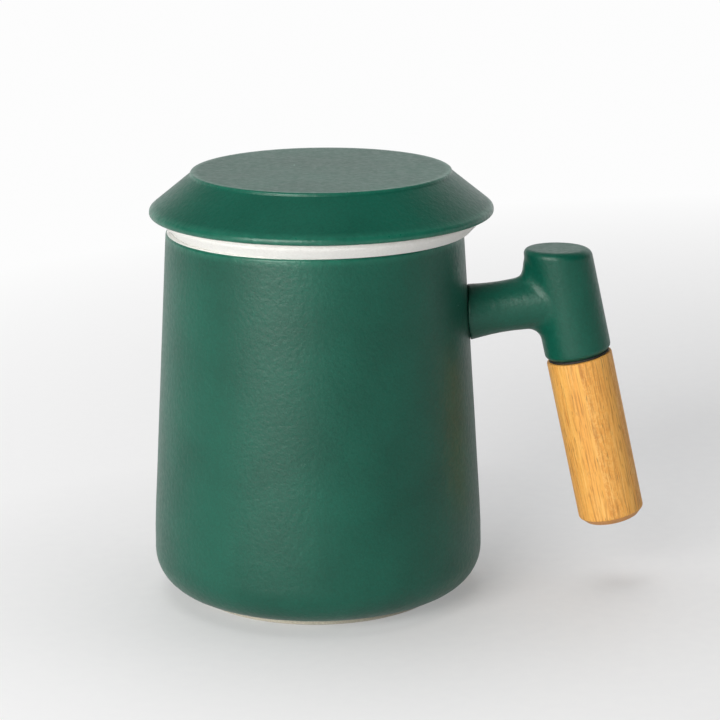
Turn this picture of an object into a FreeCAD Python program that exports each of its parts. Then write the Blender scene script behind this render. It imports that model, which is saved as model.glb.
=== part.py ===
import FreeCAD, Part
import math
import os

# Lidded tea mug with a perforated infuser and a wooden grip on a ceramic arm.
# Millimetres and degrees. The origin is on the mug's axis, on the plane that the foot stands on.
# +Z is up and +X points from the mug to the grip.

# Mug body
mug_height = 100.7            # foot plane to rim
belly_diameter = 90.0         # widest, just above the rounded base
rim_diameter = 80.3
wall = 3.8
base_thickness = 5.2
base_corner_radius = 11.5     # outside, where the side turns under
base_corner_cuts = 5          # straight cuts that make the rounding, for few facets
side_curve_radius = 200.0     # the soft bend from the upright belly into the straight taper
rim_bevel = 0.9
foot_diameter = 68.8
foot_width = 3.6
foot_lift = 1.7               # the base stands this far off the table
foot_bevel = 0.7

# Arm and knuckle
arm_drop = 19.5               # from the mug's rim down to where the arm meets the grip's axis
arm_reach = 23.2              # from the belly's radius out to the same point
arm_rise = 8.5                # the arm climbs this much on its way out
arm_end_diameter = 15.8       # at the grip's axis
arm_waist_diameter = 13.5
arm_waist_place = 19.0        # from the grip's axis back along the arm
arm_waist_radius = 60.0       # bend of the arm's outline at the waist
arm_root_diameter = 15.5      # at the mug's wall
arm_fillet = 4.0              # where the arm runs into the knuckle
grip_lean = 12.0              # the grip's foot swings out
knuckle_diameter = 18.2
knuckle_above = 13.7          # above the arm's axis
knuckle_below = 16.4
knuckle_top_rounding = 1.8
knuckle_foot_bevel = 1.1

# Wooden grip and the hardware that holds it
grip_diameter = 18.0
grip_length = 47.0
grip_end_chamfer = 1.8
grip_top_bevel = 0.5
washer_diameter = 16.6
washer_thickness = 0.6
stud_diameter = 6.0
stud_in_wood = 24.0
stud_point = 5.0
insert_diameter = 9.6
insert_length = 12.0
thread_clearance = 0.05       # all round a screwed or bonded joint
washer_clearance = 0.3
end_clearance = 1.0           # past the end of a screw or an insert

# Infuser
infuser_clearance = 2.7       # all round, inside the mug's rim, when it stands central
infuser_slip = 1.87           # the loose infuser and its lid lie this far toward the grip
infuser_wall = 2.8
infuser_floor = 3.0
infuser_depth = 65.0          # below the mug's rim
infuser_taper = 2.2           # its foot is this much smaller in radius
infuser_corner_radius = 6.0
flare_width = 2.75            # the white rim spreads past the mug's rim by this much
flare_rise = 2.9
flare_rounding = 1.4
seat_height = 4.6             # top of the white rim above the mug's rim
seat_width = 3.4
seat_bevel = 0.9
throat_drop = 3.2             # the inside flare starts this far below the mug's rim
throat_rounding = 5.0
hole_diameter = 2.8
wall_rows = 3
wall_holes_per_row = 12
row_pitch = 7.0
lowest_row = 11.0             # above the underside of the infuser
plain_above_rows = 4.0        # the wall stays upright this far past the top row
floor_rings = 2
floor_ring_pitch = 8.5
floor_holes_first_ring = 5

# Lid
lid_overhang = 6.15           # past the mug's rim
lip_height = 1.6
lip_foot_bevel = 0.7
lip_brow_rounding = 1.5
cone_width = 11.15            # seen from above
cone_slope = 39.0
disc_step = 0.9               # the flat top stands proud of the cone
disc_edge_bevel = 0.4
disc_foot_bevel = 0.8
lid_thickness = 4.6
ring_depth = 3.0              # locating ring under the lid
ring_wall = 3.4
ring_clearance = 2.2          # all round, inside the infuser's flare, below the seat
ring_bevel = 0.9
hollow_bevel = 3.0

# Sizes that follow from the ones above
belly_radius = belly_diameter / 2
rim_radius = rim_diameter / 2
foot_radius = foot_diameter / 2
seat_z = mug_height + seat_height

origin = FreeCAD.Vector(0, 0, 0)
x_axis = FreeCAD.Vector(1, 0, 0)
y_axis = FreeCAD.Vector(0, 1, 0)
z_axis = FreeCAD.Vector(0, 0, 1)
smallest_edge = 1e-6
flat = 1                          # a corner cut straight across, and not rounded
faceted = 2                       # a rounding made of this many straight cuts
drill_sides = 6


def rounded_outline(corners):
    """A closed face in the XZ plane.

    Each corner is (x, z), (x, z, rounding) or (x, z, rounding, cuts), where the rounding is
    made of that many straight cuts.
    """
    points = [FreeCAD.Vector(corner[0], 0, corner[1]) for corner in corners]
    stretches = []
    for index, (point, corner) in enumerate(zip(points, corners)):
        to_previous = (points[index - 1] - point).normalize()
        to_next = (points[(index + 1) % len(points)] - point).normalize()
        if len(corner) == 2:
            stretches.append([point])
        elif len(corner) == 3:
            stretches.append(arc_points(point, to_previous, to_next, corner[2], 2))
        else:
            stretches.append(arc_points(point, to_previous, to_next, corner[2], corner[3]))
    edges = []
    for index, (stretch, corner) in enumerate(zip(stretches, corners)):
        if len(corner) == 3:
            edges.append(Part.Arc(*stretch).toShape())
        else:
            edges += [Part.LineSegment(*pair).toShape() for pair in zip(stretch, stretch[1:])]
        following = stretches[(index + 1) % len(stretches)][0]
        if (following - stretch[-1]).Length > smallest_edge:
            edges.append(Part.LineSegment(stretch[-1], following).toShape())
    return Part.Face(Part.Wire(edges))


def arc_points(corner, to_previous, to_next, rounding, steps):
    """Evenly spaced points on the arc that rounds a corner, from one tangent to the other."""
    half_angle = to_previous.getAngle(to_next) / 2
    inward = (to_previous + to_next).normalize()
    centre = corner + inward * (rounding / math.sin(half_angle))
    turn = math.pi - 2 * half_angle
    first = corner + to_previous * (rounding / math.tan(half_angle)) - centre
    last = corner + to_next * (rounding / math.tan(half_angle)) - centre
    square_to_first = (last - first * math.cos(turn)) * (1 / math.sin(turn))
    angles = [turn * step / steps for step in range(steps + 1)]
    return [centre + first * math.cos(angle) + square_to_first * math.sin(angle) for angle in angles]


def turned(corners):
    """The solid that the outline sweeps in one turn about the Z axis."""
    return rounded_outline(corners).revolve(origin, z_axis, 360)


def on_grip_axis(shape):
    """Move a shape from the Z axis onto the grip's leaning axis, its zero at the arm's height."""
    placed = shape.copy()
    placed.rotate(origin, y_axis, -grip_lean)
    placed.translate(FreeCAD.Vector(belly_radius + arm_reach, 0, mug_height - arm_drop))
    return placed


# Mug body

side_run = mug_height - foot_lift - base_corner_radius
side_angle = math.atan2(belly_radius - rim_radius, side_run)
side_bend_z = foot_lift + base_corner_radius + side_curve_radius * math.tan(side_angle / 2)


def mug_body():
    """The turned cup with its rounded base, soft taper, rim and foot ring."""
    floor_z = foot_lift + base_thickness
    inner_corner_radius = base_corner_radius - base_thickness
    cup = turned([
        (0, foot_lift),
        (belly_radius, foot_lift, base_corner_radius, base_corner_cuts),
        (belly_radius, side_bend_z, side_curve_radius),
        (rim_radius, mug_height, rim_bevel, flat),
        (rim_radius - wall, mug_height, rim_bevel, flat),
        (belly_radius - wall, side_bend_z),
        (belly_radius - wall, floor_z, inner_corner_radius, faceted),
        (0, floor_z),
    ])
    ring_top = foot_lift + base_thickness / 2
    foot_ring = turned([
        (foot_radius - foot_width, 0, foot_bevel, flat),
        (foot_radius, 0, foot_bevel, flat),
        (foot_radius, ring_top),
        (foot_radius - foot_width, ring_top),
    ])
    return cup.fuse(foot_ring).removeSplitter()


def mug_outside():
    """The mug's outer form with no hollow, which trims what is joined to its wall."""
    return turned([
        (0, foot_lift),
        (belly_radius, foot_lift, base_corner_radius, base_corner_cuts),
        (belly_radius, side_bend_z, side_curve_radius),
        (rim_radius, mug_height),
        (0, mug_height),
    ])


# Arm, knuckle and grip

insert_bore_radius = insert_diameter / 2 + thread_clearance
insert_bore_depth = insert_length + end_clearance
washer_top = -knuckle_below
grip_top = washer_top - washer_thickness


def handle_arm():
    """The T-shaped arm: a waisted round bar that runs into the knuckle above the grip."""
    arm_length = (belly_radius + arm_reach - rim_radius) / math.cos(math.radians(arm_rise))
    arm = turned([
        (0, 0),
        (arm_end_diameter / 2, 0),
        (arm_waist_diameter / 2, arm_waist_place, arm_waist_radius),
        (arm_root_diameter / 2, arm_length),
        (arm_root_diameter / 2, arm_length + wall),
        (0, arm_length + wall),
    ])
    arm.rotate(origin, y_axis, -90 - arm_rise)
    arm.translate(FreeCAD.Vector(belly_radius + arm_reach, 0, mug_height - arm_drop))
    knuckle = on_grip_axis(turned([
        (0, -knuckle_below),
        (knuckle_diameter / 2, -knuckle_below, knuckle_foot_bevel, flat),
        (knuckle_diameter / 2, knuckle_above, knuckle_top_rounding),
        (0, knuckle_above),
    ]))
    joined = knuckle.fuse(arm)
    seam = [edge for edge in joined.Edges if lies_on_both(edge, arm, knuckle)]
    blended = joined.makeFillet(arm_fillet, seam)
    bore = on_grip_axis(Part.makeCylinder(
        insert_bore_radius, insert_bore_depth, FreeCAD.Vector(0, 0, -knuckle_below)))
    return blended.cut(bore).cut(mug_outside())


def lies_on_both(edge, first, second):
    """Whether an edge runs where two solids' skins cross."""
    samples = edge.discretize(5)
    near_first = all(touches_skin(point, first) for point in samples)
    return near_first and all(touches_skin(point, second) for point in samples)


def touches_skin(point, solid):
    """Whether a point lies on a solid's skin."""
    return solid.Shells[0].distToShape(Part.Vertex(point))[0] < 1e-4


def threaded_insert():
    """The sleeve bonded into the knuckle's bore."""
    sleeve = Part.makeCylinder(
        insert_diameter / 2, insert_length, FreeCAD.Vector(0, 0, -knuckle_below))
    thread = Part.makeCylinder(
        stud_diameter / 2 + thread_clearance, insert_length, FreeCAD.Vector(0, 0, -knuckle_below))
    return on_grip_axis(sleeve.cut(thread))


def handle_stud():
    """The double-ended screw, blunt in the insert and pointed in the wood."""
    point_z = grip_top - stud_in_wood
    return on_grip_axis(turned([
        (0, point_z),
        (stud_diameter / 2, point_z + stud_point),
        (stud_diameter / 2, insert_length - knuckle_below),
        (0, insert_length - knuckle_below),
    ]))


def washer():
    """The thin dark washer between the knuckle and the wood."""
    inner_radius = stud_diameter / 2 + washer_clearance
    return on_grip_axis(turned([
        (inner_radius, grip_top),
        (washer_diameter / 2, grip_top),
        (washer_diameter / 2, washer_top),
        (inner_radius, washer_top),
    ]))


def wood_grip():
    """The wooden dowel with a chamfered end and a blind pilot hole."""
    pilot_radius = stud_diameter / 2 + thread_clearance
    pilot_end = grip_top - stud_in_wood - end_clearance
    grip_foot = grip_top - grip_length
    return on_grip_axis(turned([
        (0, grip_foot),
        (grip_diameter / 2 - grip_end_chamfer, grip_foot),
        (grip_diameter / 2, grip_foot + grip_end_chamfer),
        (grip_diameter / 2, grip_top, grip_top_bevel, flat),
        (pilot_radius, grip_top),
        (pilot_radius, pilot_end),
        (0, pilot_end),
    ]))


# Infuser

infuser_radius = rim_radius - wall - infuser_clearance
infuser_foot_radius = infuser_radius - infuser_taper
infuser_foot_z = mug_height - infuser_depth
upright_top_z = infuser_foot_z + lowest_row + (wall_rows - 1) * row_pitch + plain_above_rows
flare_radius = rim_radius + flare_width
seat_inner_radius = flare_radius - seat_width
throat_radius = infuser_radius - infuser_wall
throat_z = mug_height - throat_drop


def flare_inside_radius(z):
    """The inner radius of the infuser's flared mouth at height z."""
    share = (z - throat_z) / (seat_z - throat_z)
    return throat_radius + share * (seat_inner_radius - throat_radius)


def infuser():
    """The perforated basket whose flared white rim sits on the mug's rim and carries the lid."""
    basket = turned([
        (0, infuser_foot_z),
        (infuser_foot_radius, infuser_foot_z, infuser_corner_radius, faceted),
        (infuser_foot_radius, upright_top_z),
        (infuser_radius, mug_height),
        (rim_radius, mug_height),
        (flare_radius, mug_height + flare_rise, flare_rounding, faceted),
        (flare_radius, seat_z, seat_bevel, flat),
        (seat_inner_radius, seat_z, seat_bevel, flat),
        (throat_radius, throat_z, throat_rounding, faceted),
        (infuser_foot_radius - infuser_wall, upright_top_z),
        (infuser_foot_radius - infuser_wall, infuser_foot_z + infuser_floor,
         infuser_corner_radius - infuser_wall, faceted),
        (0, infuser_foot_z + infuser_floor),
    ])
    drilled = basket.cut(Part.makeCompound(wall_drills() + floor_drills()))
    drilled.translate(x_axis * infuser_slip)
    return drilled


def wall_drills():
    """Staggered rows of radial drills through the lower wall."""
    drills = []
    for row in range(wall_rows):
        z = infuser_foot_z + lowest_row + row * row_pitch
        for hole in range(wall_holes_per_row):
            angle = (hole + row % 2 / 2) * 2 * math.pi / wall_holes_per_row
            outward = FreeCAD.Vector(math.cos(angle), math.sin(angle), 0)
            start = outward * (infuser_foot_radius - 2 * infuser_wall) + FreeCAD.Vector(0, 0, z)
            length = infuser_taper + 3 * infuser_wall
            drills.append(drill(start, outward * length))
    return drills


def drill(start, run):
    """A straight drill with flats, as wide across its corners as a hole."""
    turn = FreeCAD.Rotation(z_axis, run)
    corners = []
    for side in range(drill_sides + 1):
        angle = (side + 0.5) * 2 * math.pi / drill_sides
        spoke = FreeCAD.Vector(math.cos(angle), math.sin(angle), 0) * (hole_diameter / 2)
        corners.append(start + turn.multVec(spoke))
    return Part.Face(Part.makePolygon(corners)).extrude(run)


def floor_drills():
    """One drill on the axis and rings of six, twelve and so on about it."""
    below = infuser_foot_z - infuser_floor
    places = [FreeCAD.Vector(0, 0, below)]
    for ring in range(1, floor_rings + 1):
        count = floor_holes_first_ring * ring
        for hole in range(count):
            angle = hole * 2 * math.pi / count
            reach = ring * floor_ring_pitch
            places.append(FreeCAD.Vector(reach * math.cos(angle), reach * math.sin(angle), below))
    return [drill(place, z_axis * (3 * infuser_floor)) for place in places]


# Lid

def lid():
    """The stepped conical lid with a hollow underside and a locating ring."""
    lid_radius = rim_radius + lid_overhang
    disc_radius = lid_radius - cone_width
    cone_foot_z = seat_z + lip_height
    cone_top_z = cone_foot_z + cone_width * math.tan(math.radians(cone_slope))
    top_z = cone_top_z + disc_step
    ring_foot_z = seat_z - ring_depth
    ring_radius = flare_inside_radius(ring_foot_z) - ring_clearance
    hollow_radius = ring_radius - ring_wall
    cover = turned([
        (0, top_z),
        (disc_radius, top_z, disc_edge_bevel, flat),
        (disc_radius, cone_top_z, disc_foot_bevel, flat),
        (lid_radius, cone_foot_z, lip_brow_rounding, faceted),
        (lid_radius, seat_z, lip_foot_bevel, flat),
        (ring_radius, seat_z),
        (ring_radius, ring_foot_z, ring_bevel, flat),
        (hollow_radius, ring_foot_z, ring_bevel, flat),
        (hollow_radius, top_z - lid_thickness, hollow_bevel, flat),
        (0, top_z - lid_thickness),
    ])
    cover.translate(x_axis * infuser_slip)
    return cover


pieces = {
    "mug_body": mug_body,
    "handle_arm": handle_arm,
    "threaded_insert": threaded_insert,
    "handle_stud": handle_stud,
    "washer": washer,
    "wood_grip": wood_grip,
    "infuser": infuser,
    "lid": lid,
}

os.makedirs("parts", exist_ok=True)
for name, make in pieces.items():
    shape = make()
    shape.exportStep(f"parts/{name}.step")
    box = shape.BoundBox
    print(f"{name}: {len(shape.Solids)} solid, valid {shape.isValid()}, volume {shape.Volume:.1f}, "
          f"x {box.XMin:.2f} to {box.XMax:.2f}, z {box.ZMin:.2f} to {box.ZMax:.2f}")
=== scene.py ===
"""A lidded tea mug with a lift-out infuser, dressed for a studio photograph.

Lengths are metres unless a name ends in _mm. The mug's axis is Z, the foot stands on Z = 0,
and the grip lies toward +X.
"""

import logging
import math
from dataclasses import dataclass, field
from enum import Enum

import bmesh
import bpy
from mathutils import Matrix, Vector, noise


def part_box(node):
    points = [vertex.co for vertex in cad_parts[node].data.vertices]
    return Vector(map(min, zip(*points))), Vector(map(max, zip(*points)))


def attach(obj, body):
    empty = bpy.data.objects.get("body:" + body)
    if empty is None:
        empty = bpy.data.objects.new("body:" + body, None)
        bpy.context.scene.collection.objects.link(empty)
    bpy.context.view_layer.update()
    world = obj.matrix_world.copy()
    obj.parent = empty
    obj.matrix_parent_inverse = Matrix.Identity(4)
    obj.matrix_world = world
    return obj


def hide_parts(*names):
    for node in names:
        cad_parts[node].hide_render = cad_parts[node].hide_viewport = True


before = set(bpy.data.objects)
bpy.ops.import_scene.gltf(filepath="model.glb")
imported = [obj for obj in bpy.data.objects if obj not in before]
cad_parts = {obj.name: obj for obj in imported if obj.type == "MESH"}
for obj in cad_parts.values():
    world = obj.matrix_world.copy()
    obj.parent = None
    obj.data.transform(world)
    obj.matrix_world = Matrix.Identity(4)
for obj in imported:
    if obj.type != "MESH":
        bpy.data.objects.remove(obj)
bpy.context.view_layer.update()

log = logging.getLogger("tea_mug")
MM = 0.001
FULL_TURN = 2 * math.pi
UP = Vector((0, 0, 1))

Colour = tuple[float, float, float]
Place = tuple[float, float, float]
Socket = bpy.types.NodeSocket


class Surface(Enum):
    """The finishes that one ceramic piece can carry, in the order of its material slots."""

    GLAZED = 0
    LINING = 1
    BARE = 2


@dataclass(frozen=True)
class Corner:
    """One corner of a turned outline, in millimetres.

    Args:
        r: distance from the axis.
        z: height.
        rounding: radius of the arc that replaces the corner.
        surface: finish of the stretch that follows the corner.
    """

    r: float
    z: float
    rounding: float = 0.0
    surface: Surface = Surface.GLAZED


@dataclass(frozen=True)
class Ring:
    """One ring of a turned mesh: where it lies and what it is like there.

    Args:
        r: distance from the axis, in millimetres.
        z: height, in millimetres.
        surface: finish of the band that follows the ring.
        edge: 1 on a small convex rounding, where glaze runs thin and is painted lighter as a
            highlight, and less away from it.
    """

    r: float
    z: float
    surface: Surface
    edge: float

    @property
    def on_axis(self) -> bool:
        """Whether the ring has closed to a point."""
        closed_mm = 1e-6
        return self.r < closed_mm


@dataclass(frozen=True)
class Outline:
    """A turned outline that starts and ends on the axis or closes on itself.

    Args:
        corners: the corners in order, counterclockwise seen with +r to the right.
        longest_mm: the longest straight stretch between two rings.
        arc_step_deg: the largest turn between two rings of a rounding.
        thin_highlight_below_mm: convex roundings smaller than this carry thin glaze with a painted
            highlight.
        fade_mm: how far the thin glaze and its painted highlight take to fade beside a rounding.
    """

    corners: tuple[Corner, ...]
    longest_mm: float = 1.5
    arc_step_deg: float = 9.0
    thin_highlight_below_mm: float = 3.0
    fade_mm: float = 0.35

    def rings(self) -> list[Ring]:
        """Work out the rings, with arcs at the roundings.

        Returns:
            The rings in order, not repeating the first one.
        """
        rings: list[Ring] = []
        count = len(self.corners)
        for index, corner in enumerate(self.corners):
            before = self.corners[index - 1]
            after = self.corners[(index + 1) % count]
            rings.extend(self._corner_rings(before, corner, after))
        return self._faded(self._filled(rings))

    def _faded(self, rings: list[Ring]) -> list[Ring]:
        """Let the thin glaze and painted highlight of an edge fade out over the neighbouring bands.

        Args:
            rings: all the rings, with edge at 1 on small convex roundings.

        Returns:
            The same rings with edge falling off beside them.
        """
        along = [0.0]
        for ring, following in zip(rings, rings[1:]):
            along.append(along[-1] + math.hypot(following.r - ring.r, following.z - ring.z))
        edges = [place for place, ring in zip(along, rings) if ring.edge > 0]
        faded = []
        for place, ring in zip(along, rings):
            nearest = min((abs(place - edge) for edge in edges), default=math.inf)
            faded.append(Ring(ring.r, ring.z, ring.surface, math.exp(-nearest / self.fade_mm)))
        return faded

    def _corner_rings(self, before: Corner, corner: Corner, after: Corner) -> list[Ring]:
        """Replace one corner with its arc.

        Args:
            before: the corner that comes before.
            corner: the corner itself.
            after: the corner that follows.

        Returns:
            One ring for a sharp corner, or the rings of the arc.
        """
        point = Vector((corner.r, corner.z))
        if corner.rounding <= 0:
            return [Ring(corner.r, corner.z, corner.surface, 0.0)]
        back = (Vector((before.r, before.z)) - point).normalized()
        forth = (Vector((after.r, after.z)) - point).normalized()
        half = back.angle(forth) / 2
        inward = (back + forth).normalized()
        centre = point + inward * (corner.rounding / math.sin(half))
        start = point + back * (corner.rounding / math.tan(half)) - centre
        turn = math.pi - 2 * half
        convex = back.x * forth.y - back.y * forth.x < 0
        steps = max(2, math.ceil(math.degrees(turn) / self.arc_step_deg))
        sense = 1 if convex else -1
        # small convex roundings carry thin glaze, painted lighter as a highlight
        thin = 1.0 if convex and corner.rounding < self.thin_highlight_below_mm else 0.0
        arc = []
        for step in range(steps + 1):
            place = centre + Matrix.Rotation(sense * turn * step / steps, 2) @ start
            surface = corner.surface if step > steps / 2 else before.surface
            arc.append(Ring(place.x, place.y, surface, thin))
        return arc

    def _filled(self, rings: list[Ring]) -> list[Ring]:
        """Split long straight stretches so that bands stay short.

        Args:
            rings: the rings at corners and arcs.

        Returns:
            The same rings with more between them.
        """
        filled: list[Ring] = []
        for index, ring in enumerate(rings):
            following = rings[(index + 1) % len(rings)]
            filled.append(ring)
            if ring.on_axis and following.on_axis:
                continue
            gap = math.hypot(following.r - ring.r, following.z - ring.z)
            parts = max(1, math.ceil(gap / self.longest_mm))
            for part in range(1, parts):
                share = part / parts
                filled.append(Ring(ring.r + (following.r - ring.r) * share,
                                   ring.z + (following.z - ring.z) * share, ring.surface, 0.0))
        return filled


@dataclass(frozen=True)
class Casting:
    """How far a slip-cast or sanded wall wanders from its true form.

    Args:
        depth_mm: the deepest hollow; nothing stands proud of the true form.
        patch_mm: the size of one hollow.
    """

    depth_mm: float = 0.06
    patch_mm: float = 14.0

    def draw_in(self, place: Vector) -> float:
        """Return how far the wall is drawn in at a place, in millimetres."""
        wave = 0.5 + 0.5 * noise.noise(place / self.patch_mm)
        return self.depth_mm * min(1.0, max(0.0, wave))


def smooth_mesh(name: str, points: list[Vector], faces: list[list[int]]) -> bpy.types.Mesh:
    """Make a smoothly shaded mesh.

    Args:
        name: the mesh's name.
        points: its points, in metres.
        faces: the points of each face, counterclockwise from outside.

    Returns:
        The new mesh.
    """
    mesh = bpy.data.meshes.new(name)
    mesh.from_pydata(points, [], faces)
    mesh.shade_smooth()
    mesh.update()
    return mesh


def ring_points(ring: Ring, segments: int, casting: Casting | None, shift_mm: float) -> list[Vector]:
    """Set out one ring's points.

    Args:
        ring: the ring.
        segments: how many points go round.
        casting: how the wall wanders, or None for a true form.
        shift_mm: how far the form is moved along X.

    Returns:
        The points in metres, or a single one for a ring on the axis.
    """
    if ring.on_axis:
        return [Vector((shift_mm, 0, ring.z)) * MM]
    points = []
    for step in range(segments):
        angle = FULL_TURN * step / segments
        place = Vector((ring.r * math.cos(angle), ring.r * math.sin(angle), ring.z))
        radius = ring.r - (casting.draw_in(place) if casting else 0.0)
        place = Vector((shift_mm + radius * math.cos(angle), radius * math.sin(angle), ring.z))
        points.append(place * MM)
    return points


def turned_mesh(name: str, outline: Outline, segments: int,
                casting: Casting | None = None, shift_mm: float = 0.0) -> bpy.types.Mesh:
    """Turn an outline about the Z axis.

    Args:
        name: the mesh's name.
        outline: the outline to turn.
        segments: how many faces go round.
        casting: how the wall wanders, or None for a true form.
        shift_mm: how far the whole form is moved along X.

    Returns:
        A mesh in metres, with material indices and a thin_glaze_highlight attribute on its points,
        which marks thin glaze and a painted highlight.
    """
    rings = outline.rings()
    points: list[Vector] = []
    thin: list[float] = []
    rows: list[list[int]] = []
    for ring in rings:
        spots = ring_points(ring, segments, casting, shift_mm)
        rows.append([len(points) + step % len(spots) for step in range(segments)])
        thin += [ring.edge] * len(spots)
        points += spots
    faces: list[list[int]] = []
    finishes: list[int] = []
    for index, ring in enumerate(rings):
        lower = rows[index]
        upper = rows[(index + 1) % len(rings)]
        for step in range(segments):
            ahead = (step + 1) % segments
            face = list(dict.fromkeys((lower[step], lower[ahead], upper[ahead], upper[step])))
            if len(face) > 2:
                faces.append(face)
                finishes.append(ring.surface.value)
    mesh = smooth_mesh(name, points, faces)
    mesh.polygons.foreach_set("material_index", finishes)
    attribute = mesh.attributes.new("thin_glaze_highlight", "FLOAT", "POINT")
    attribute.data.foreach_set("value", thin)
    return mesh


class Nodes:
    """A node tree, with short names for the nodes that the finishes and the room share."""

    def __init__(self, tree: bpy.types.NodeTree) -> None:
        """Take the tree to add to."""
        self.tree = tree

    def add(self, kind: str, **settings: object) -> bpy.types.Node:
        """Add a node.

        Args:
            kind: the node's type name.
            settings: properties to set on it.

        Returns:
            The new node.
        """
        node = self.tree.nodes.new(kind)
        for key, value in settings.items():
            setattr(node, key, value)
        return node

    def feed(self, socket: Socket, value: object) -> None:
        """Link a socket to an output, or set it to a plain value.

        Args:
            socket: the socket.
            value: the output to link, or the value to set.
        """
        if isinstance(value, Socket):
            self.tree.links.new(value, socket)
        else:
            socket.default_value = value

    def fed(self, kind: str, *values: object, **settings: object) -> bpy.types.Node:
        """Add a node and fill its first inputs.

        Args:
            kind: the node's type name.
            values: what its first inputs take, in order.
            settings: properties to set on it.

        Returns:
            The new node.
        """
        node = self.add(kind, **settings)
        for socket, value in zip(node.inputs, values):
            self.feed(socket, value)
        return node

    def maths(self, operation: str, first: object, second: object = 0.0) -> Socket:
        """Do one sum on two values and return the result."""
        return self.fed("ShaderNodeMath", first, second, operation=operation).outputs[0]

    def product(self, first: object, second: object) -> Socket:
        """Multiply two values and return the result."""
        return self.maths("MULTIPLY", first, second)

    def spread(self, value: object, low: float, high: float, to_low: float = 0.0,
               to_high: float = 1.0, soft: bool = False) -> Socket:
        """Map a value from one range to another and keep it there.

        Args:
            value: the value to map.
            low: where its range starts.
            high: where its range ends.
            to_low: the result at the start.
            to_high: the result at the end.
            soft: whether both ends ease in.

        Returns:
            The mapped value.
        """
        ease = "SMOOTHSTEP" if soft else "LINEAR"
        node = self.fed("ShaderNodeMapRange", value, low, high, to_low, to_high,
                        clamp=True, interpolation_type=ease)
        return node.outputs["Result"]


class Graph(Nodes):
    """A material's nodes."""

    def __init__(self, name: str) -> None:
        """Start an empty material.

        Args:
            name: the material's name.
        """
        self.material = bpy.data.materials.new(name)
        self.material.use_nodes = True
        super().__init__(self.material.node_tree)
        self.shader = self.tree.nodes["Principled BSDF"]
        self.place = self.add("ShaderNodeTexCoord").outputs["Object"]

    def shader_set(self, **values: object) -> None:
        """Set the shader's own sockets; an underscore in a name stands for a space."""
        for key, value in values.items():
            self.feed(self.shader.inputs[key.replace("_", " ")], value)

    def grain(self, size_mm: float, detail: float = 2.0, roughness: float = 0.5,
              source: Socket | None = None, twist: float = 0.0) -> Socket:
        """Make noise with patches of a real size.

        Args:
            size_mm: the size of one patch.
            detail: how many finer layers it has.
            roughness: how strong the finer layers are.
            source: the coordinates, or None for the object's own.
            twist: how much the noise is warped.

        Returns:
            The noise, from 0 to 1.
        """
        node = self.add("ShaderNodeTexNoise")
        self.feed(node.inputs["Vector"], source or self.place)
        node.inputs["Scale"].default_value = 1 / (size_mm * MM)
        node.inputs["Detail"].default_value = detail
        node.inputs["Roughness"].default_value = roughness
        node.inputs["Distortion"].default_value = twist
        return node.outputs["Fac"]

    def vary(self, grain: Socket, low: float = 0.0, high: float = 1.0) -> Socket:
        """Turn noise, which seldom leaves 0.3 to 0.7, into values between two others."""
        return self.spread(grain, 0.3, 0.7, low, high)

    def blend(self, share: object, first: object, second: object) -> Socket:
        """Mix two colours.

        Args:
            share: how much of the second colour shows.
            first: the first colour, as three numbers or an output.
            second: the second colour.

        Returns:
            The mixed colour.
        """
        node = self.add("ShaderNodeMix", data_type="RGBA")
        self.feed(node.inputs[0], share)
        self.feed(node.inputs[6], opaque(first))
        self.feed(node.inputs[7], opaque(second))
        return node.outputs[2]

    def relief(self, height: object, depth_mm: float, under: Socket | None = None) -> Socket:
        """Bump the surface.

        Args:
            height: the height, from 0 to 1.
            depth_mm: how deep a full step is.
            under: another relief to add to.

        Returns:
            The bent normal.
        """
        node = self.add("ShaderNodeBump")
        node.inputs["Strength"].default_value = 1.0
        node.inputs["Distance"].default_value = depth_mm * MM
        self.feed(node.inputs["Height"], height)
        if under is not None:
            self.feed(node.inputs["Normal"], under)
        return node.outputs["Normal"]

    def attribute(self, name: str) -> Socket:
        """Read a number that the mesh carries on its points."""
        return self.add("ShaderNodeAttribute", attribute_name=name).outputs["Fac"]


def opaque(colour: object) -> object:
    """Give three numbers a full alpha, and leave an output as it is.

    Args:
        colour: three numbers, or an output.

    Returns:
        Four numbers, or the same output.
    """
    if isinstance(colour, Socket):
        return colour
    return (*colour, 1.0)


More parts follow.
